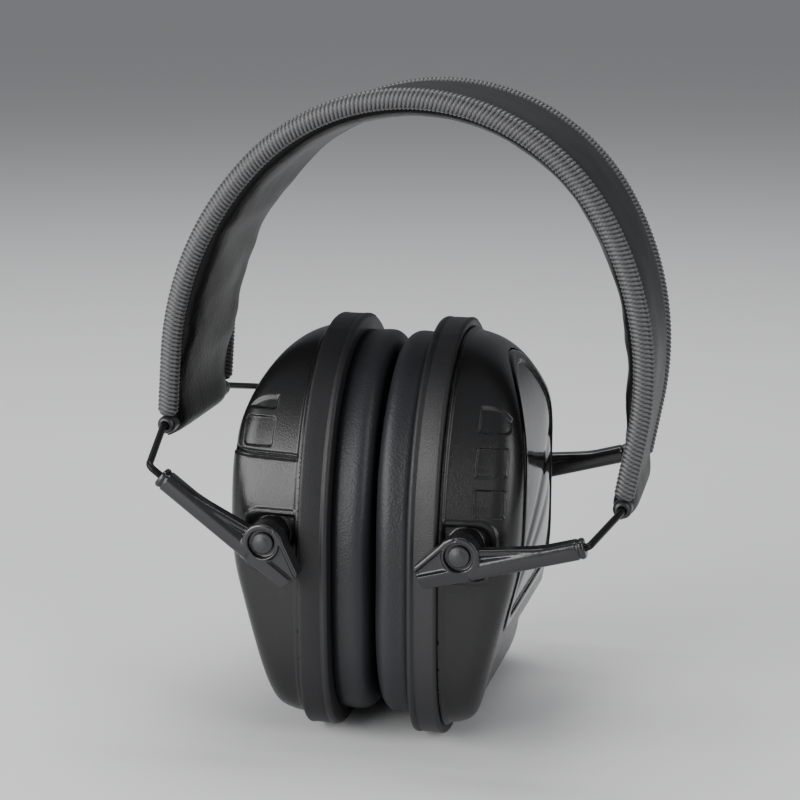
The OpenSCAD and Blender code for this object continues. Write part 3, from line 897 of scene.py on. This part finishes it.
def make_bail(side, sign):
    """One lacquered wire: its crossbar lies in the headband's bracket, its ends in the arms."""
    cross_y = BAND_W / 2 + 0.6
    u, w = hinge_on_arm(side, sign)
    half = [np.array(c) for c in ((u, 0, w), (u, cross_y, w), (u - LEG_REACH, ARM_Y, 0),
                                  (u - LEG_REACH - WIRE_END, ARM_Y, 0))]
    corners = [c * [1, -1, 1] for c in reversed(half[1:])] + half[1:]
    path = np.array(rounded_path(corners, BAIL_BEND_R))
    path = on_arm(side, sign, 1)(path - [0, ARM_Y, 0])
    bail = tube(f"{side}_bail", path, WIRE_R, BAIL_STEEL, sides=20)
    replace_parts(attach(bail, f"{side}_bail"), f"{side}_wire_bail")


# ---- headband -----------------------------------------------------------------------------------

# The path lies in the plane Y = 0: from each hinge a straight leg, a side arc and half of the crown's arc
left_hinge, right_hinge = joint_place("left_fold"), joint_place("right_fold")
band_mid = (left_hinge + right_hinge) / 2
half_span = np.linalg.norm(right_hinge - left_hinge) / 2
band_x = (right_hinge - left_hinge) / (2 * half_span)
band_z = np.array([-band_x[2], 0, band_x[0]])

side_cx = half_span + LEG_L * math.sin(LEG_LEAN) - SIDE_R * math.cos(LEG_LEAN)
side_cz = LEG_L * math.cos(LEG_LEAN) + SIDE_R * math.sin(LEG_LEAN)
crown_r = SIDE_R + side_cx / math.sin(CROWN_HALF)
crown_cz = side_cz + (SIDE_R - crown_r) * math.cos(CROWN_HALF)
side_l = SIDE_R * (math.pi / 2 - CROWN_HALF + LEG_LEAN)
half_l = LEG_L + side_l + crown_r * CROWN_HALF


def band_point(q, out, y):
    """A point of the headband: q along it from the crown, positive to the right, out from its path."""
    s = half_l - abs(q)
    if s <= LEG_L:
        x = half_span + s * math.sin(LEG_LEAN) + out * math.cos(LEG_LEAN)
        z = s * math.cos(LEG_LEAN) - out * math.sin(LEG_LEAN)
    elif s <= LEG_L + side_l:
        t = (s - LEG_L) / SIDE_R - LEG_LEAN
        x = side_cx + (SIDE_R + out) * math.cos(t)
        z = side_cz + (SIDE_R + out) * math.sin(t)
    else:
        t = math.pi / 2 - (half_l - s) / crown_r
        x = (crown_r + out) * math.cos(t)
        z = crown_cz + (crown_r + out) * math.sin(t)
    return band_mid + band_x * math.copysign(x, q) + band_z * z + np.array([0, y, 0])


def along_band(start, step):
    """Places along the band from one end to the other, start being the distance from each hinge."""
    reach = half_l - start
    return np.linspace(-reach, reach, int(2 * reach / step) + 1)


BEND_REACH = 55.0


def bend_with_band(piece):
    """Bakes the piece's placing into its mesh. The two ends of a stretch across the crown are worked out,
    but nothing uses them.
    """
    crown = band_mid + band_z * (crown_cz + crown_r)
    start, end = ((crown + s * BEND_REACH * band_x) * MM for s in (-1, 1))
    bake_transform(piece)
    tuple(start)
    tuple(end)


# Sleeve: points in a section, its seams, and the slack of its outer and inner face
SECTION = 72
FLAT_IN = 2.4
SEAM_DEPTH = 0.12
SEAM_INSET = 2.6
SLACK_OUT = 0.14
SLACK_IN = 1.1


def sleeve_ring(q, half_w):
    """The sleeve's section: flat outside, padded towards the head, rounded off past each hinge."""
    s = half_l - abs(q)
    full = float(smooth_step(s, 8, 26))
    if s < 0:
        outer = inner = math.sqrt(max(HEM_R ** 2 - s ** 2, 0.02))
    else:
        neck = float(smooth_step(s, 0, 7))
        outer = HEM_R + (SLEEVE_OUT - 0.2 - HEM_R) * neck
        inner = HEM_R + (FLAT_IN - HEM_R) * neck + (SLEEVE_IN - FLAT_IN + 0.1) * full
    ring = []
    for j in range(SECTION):
        t = 2 * math.pi * j / SECTION
        across, lift = power(math.cos(t), 0.34), power(math.sin(t), 0.62)
        y = half_w * across
        out = lift * (outer if lift > 0 else inner)
        side = 1 - abs(across) ** 8
        # The creases lie slantwise, and each face of the sleeve has its own.
        place = Vector((q / 15 + y / 34, y / 22 - q / 60, 1.3 if lift > 0 else 5.1))
        slack = noise.noise(place) + 0.45 * noise.noise(place * 2.3)
        gather = smooth_step(s, 4, 20) * (0.35 + 0.65 * smooth_step(-s, -95, -60))
        out += side * slack * float(gather) * (SLACK_OUT if lift > 0 else SLACK_IN)
        seam = SEAM_DEPTH * math.exp(-((abs(y) - half_w + SEAM_INSET) / 0.5) ** 2)
        out -= math.copysign(seam, lift) * side
        ring.append(band_point(q, out, y))
    return ring


def make_sleeve():
    """Padded cover of the whole headband."""
    half_w = BAND_W / 2 - 2 * PIPING_R + 0.35
    ends = [half_l + HEM_R * math.sin(math.radians(a)) for a in (88, 75, 60, 45, 30, 15)]
    middle = along_band(0, 1.15)
    places = [-q for q in ends] + list(middle) + list(reversed(ends))
    sleeve = loft("headband_cover", [sleeve_ring(q, half_w) for q in places], SLEEVE_LEATHER)
    for side in SIDES:
        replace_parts(sleeve, f"{side}_headband_sleeve", f"{side}_headband_pad")
    bend_with_band(sleeve)


CORD_PITCH = 1.15
CORD_DEPTH = 0.45
CORD_SLANT = 0.28
PIPING_OUT = 2.75
PIPING_START = 2.7
PIPING_SIDES = 18


def make_piping(end):
    """Ribbed edge binding: fine cords side by side, slightly slanted, drawn in at both ends."""
    low, high = low_high(f"right_{end}_piping")
    middle_y = (low[1] + high[1]) / 2
    rings, heights = [], []
    for q in along_band(PIPING_START, CORD_PITCH / 6):
        tip = min(1.0, 0.5 + 0.5 * math.sqrt(max(half_l - PIPING_START - abs(q), 0) / 1.5))
        ring = []
        for t in np.linspace(0, 2 * math.pi, PIPING_SIDES, endpoint=False):
            out = PIPING_OUT * power(math.sin(t), 0.85)
            side = PIPING_R * power(math.cos(t), 0.85)
            cord = abs(math.sin(math.pi * (q - CORD_SLANT * out) / CORD_PITCH)) ** 0.7
            swell = tip * (1 - CORD_DEPTH / PIPING_OUT * (1 - cord))
            ring.append(band_point(q, swell * out - 0.25, middle_y + swell * side))
            heights.append(cord)
        rings.append(ring)
    piping = loft(f"{end}_edge_piping", rings, PIPING_TRIM)
    # The cord heights colour the piping: painted shade in the grooves, painted highlight on the crests.
    cords = piping.data.attributes.new("cord", "FLOAT", "POINT")
    cords.data.foreach_set("value", heights + [0.0, 0.0])
    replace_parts(piping, f"left_{end}_piping", f"right_{end}_piping")
    bend_with_band(piping)


STRIP_START = 5.0


def make_strip():
    """Spring steel strip inside the cover, with its edges broken."""
    quarter = [(0.5, 12.8), (0.35, 13)]
    edge = quarter + [(-out, y) for out, y in reversed(quarter)]
    section = edge + [(-out, -y) for out, y in edge]
    rings = [[band_point(q, out, y) for out, y in section] for q in along_band(STRIP_START, 2.5)]
    strip = loft("spring_steel", rings, STRIP_STEEL)
    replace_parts(strip, "left_spring_strip", "right_spring_strip")
    bend_with_band(strip)


BARREL_HALF_L = 25.0
TAB_HALF_W = 13.0
TAB_HALF_T = 0.5
TAB_OUT = 1.05
TAB_MIDDLE = 8.5
TAB_HALF_L = 8.3


def bracket_field(s, out, y):
    """Bracket in the band's own run: s up from the hinge, out from the path."""
    barrel = smooth_max(np.hypot(s, out) - BARREL_R, slab(y, 0, BARREL_HALF_L), 1.6)
    tab = smooth_max(slab(out, TAB_OUT, TAB_HALF_T), slab(s, TAB_MIDDLE, TAB_HALF_L), 0.5)
    solid = smooth_min(barrel, smooth_max(tab, slab(y, 0, TAB_HALF_W), 2.5), 1.0)
    return np.maximum(solid, BORE_R - np.hypot(s, out))


def make_bracket(side, sign):
    """Barrel round the wire's crossbar with a tab that reaches up into the sleeve."""
    def place(points):
        return np.array([band_point(sign * (half_l - s), out, y) for s, out, y in points])
    low, high = (-3.2, -3.2, -BARREL_HALF_L), (17, 3.2, BARREL_HALF_L)
    bracket = carve(f"{side}_bracket", bracket_field, low, high, 0.4, BRACKET_PLASTIC, place)
    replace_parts(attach(bracket, f"{side}_band"), f"{side}_band_bracket")


# ---- the object ---------------------------------------------------------------------------------

for side, sign in SIDES.items():
    make_shell(side, sign)
    make_rim(side, sign)
    make_seat_ring(side, sign)
    make_cushion(side, sign)
    make_liner(side, sign)
    make_arms(side, sign)
    make_pins(side, sign)
    make_bail(side, sign)
    make_bracket(side, sign)
    rivets = frame["nodes"][f"{side}_bracket_rivets"]
    rivets.data.materials.clear()
    rivets.data.materials.append(RIVET_STEEL)
make_sleeve()
make_strip()
for end in ("front", "rear"):
    make_piping(end)


# ---- stage, light and camera --------------------------------------------------------------------

FLOOR_HALF = 30.0
FLOOR_Z = -0.0004
LIGHT_TARGET = (0, 0, 0.09)
CAMERA_TARGET = (-0.001, 0, 0.085)
CAMERA_AZIMUTH = math.radians(13)
CAMERA_ELEVATION = math.radians(13)
CAMERA_DISTANCE = 0.52
CAMERA_LENS = 85.5


def make_floor():
    """Pale paper under the object and far behind it, in metres like everything on the stage."""
    mesh = bpy.data.meshes.new("floor")
    r = FLOOR_HALF
    mesh.from_pydata([(-r, -r, 0), (r, -r, 0), (r, r, 0), (-r, r, 0)], [], [(0, 1, 2, 3)])
    mesh.materials.append(surface("floor_paper", (0.72, 0.72, 0.73), 0.7)[0])
    floor = bpy.data.objects.new("floor", mesh)
    bpy.context.scene.collection.objects.link(floor)
    floor.location.z = FLOOR_Z


def aim(made, position, direction):
    """Puts a light or camera in the scene, looking in a direction."""
    made.location = position
    made.rotation_mode = "QUATERNION"
    made.rotation_quaternion = direction.to_track_quat("-Z", "Y")
    bpy.context.scene.collection.objects.link(made)


def soft_light(name, position, size, energy):
    """A rectangular light aimed at the object's middle."""
    data = bpy.data.lights.new(name, "AREA")
    data.shape = "RECTANGLE"
    data.size, data.size_y = size
    data.energy = energy
    aim(bpy.data.objects.new(name, data), position, Vector(LIGHT_TARGET) - Vector(position))


def make_camera():
    """The photo's view: a little to the right of the front and a little above."""
    level = math.cos(CAMERA_ELEVATION)
    back = Vector((math.sin(CAMERA_AZIMUTH) * level, -math.cos(CAMERA_AZIMUTH) * level,
                   math.sin(CAMERA_ELEVATION)))
    data = bpy.data.cameras.new("camera")
    data.lens, data.sensor_width = CAMERA_LENS, 36
    camera = bpy.data.objects.new("camera", data)
    aim(camera, Vector(CAMERA_TARGET) + back * CAMERA_DISTANCE, -back)
    bpy.context.scene.camera = camera


def make_world():
    """Even grey light from all round."""
    world = bpy.data.worlds.new("studio")
    world.use_nodes = True
    sky = world.node_tree.nodes["Background"]
    sky.inputs["Color"].default_value = (0.82, 0.84, 0.87, 1)
    sky.inputs["Strength"].default_value = 0.3
    bpy.context.scene.world = world


make_floor()
make_world()
make_camera()
soft_light("key", (-0.9, -0.6, 0.5), (0.6, 0.7), 9)
soft_light("front", (-0.45, -0.85, 0.3), (0.36, 0.56), 6)
soft_light("fill", (0.95, -0.55, 0.5), (0.5, 0.9), 6)
soft_light("top", (0.0, 0.25, 1.1), (0.9, 0.5), 9)
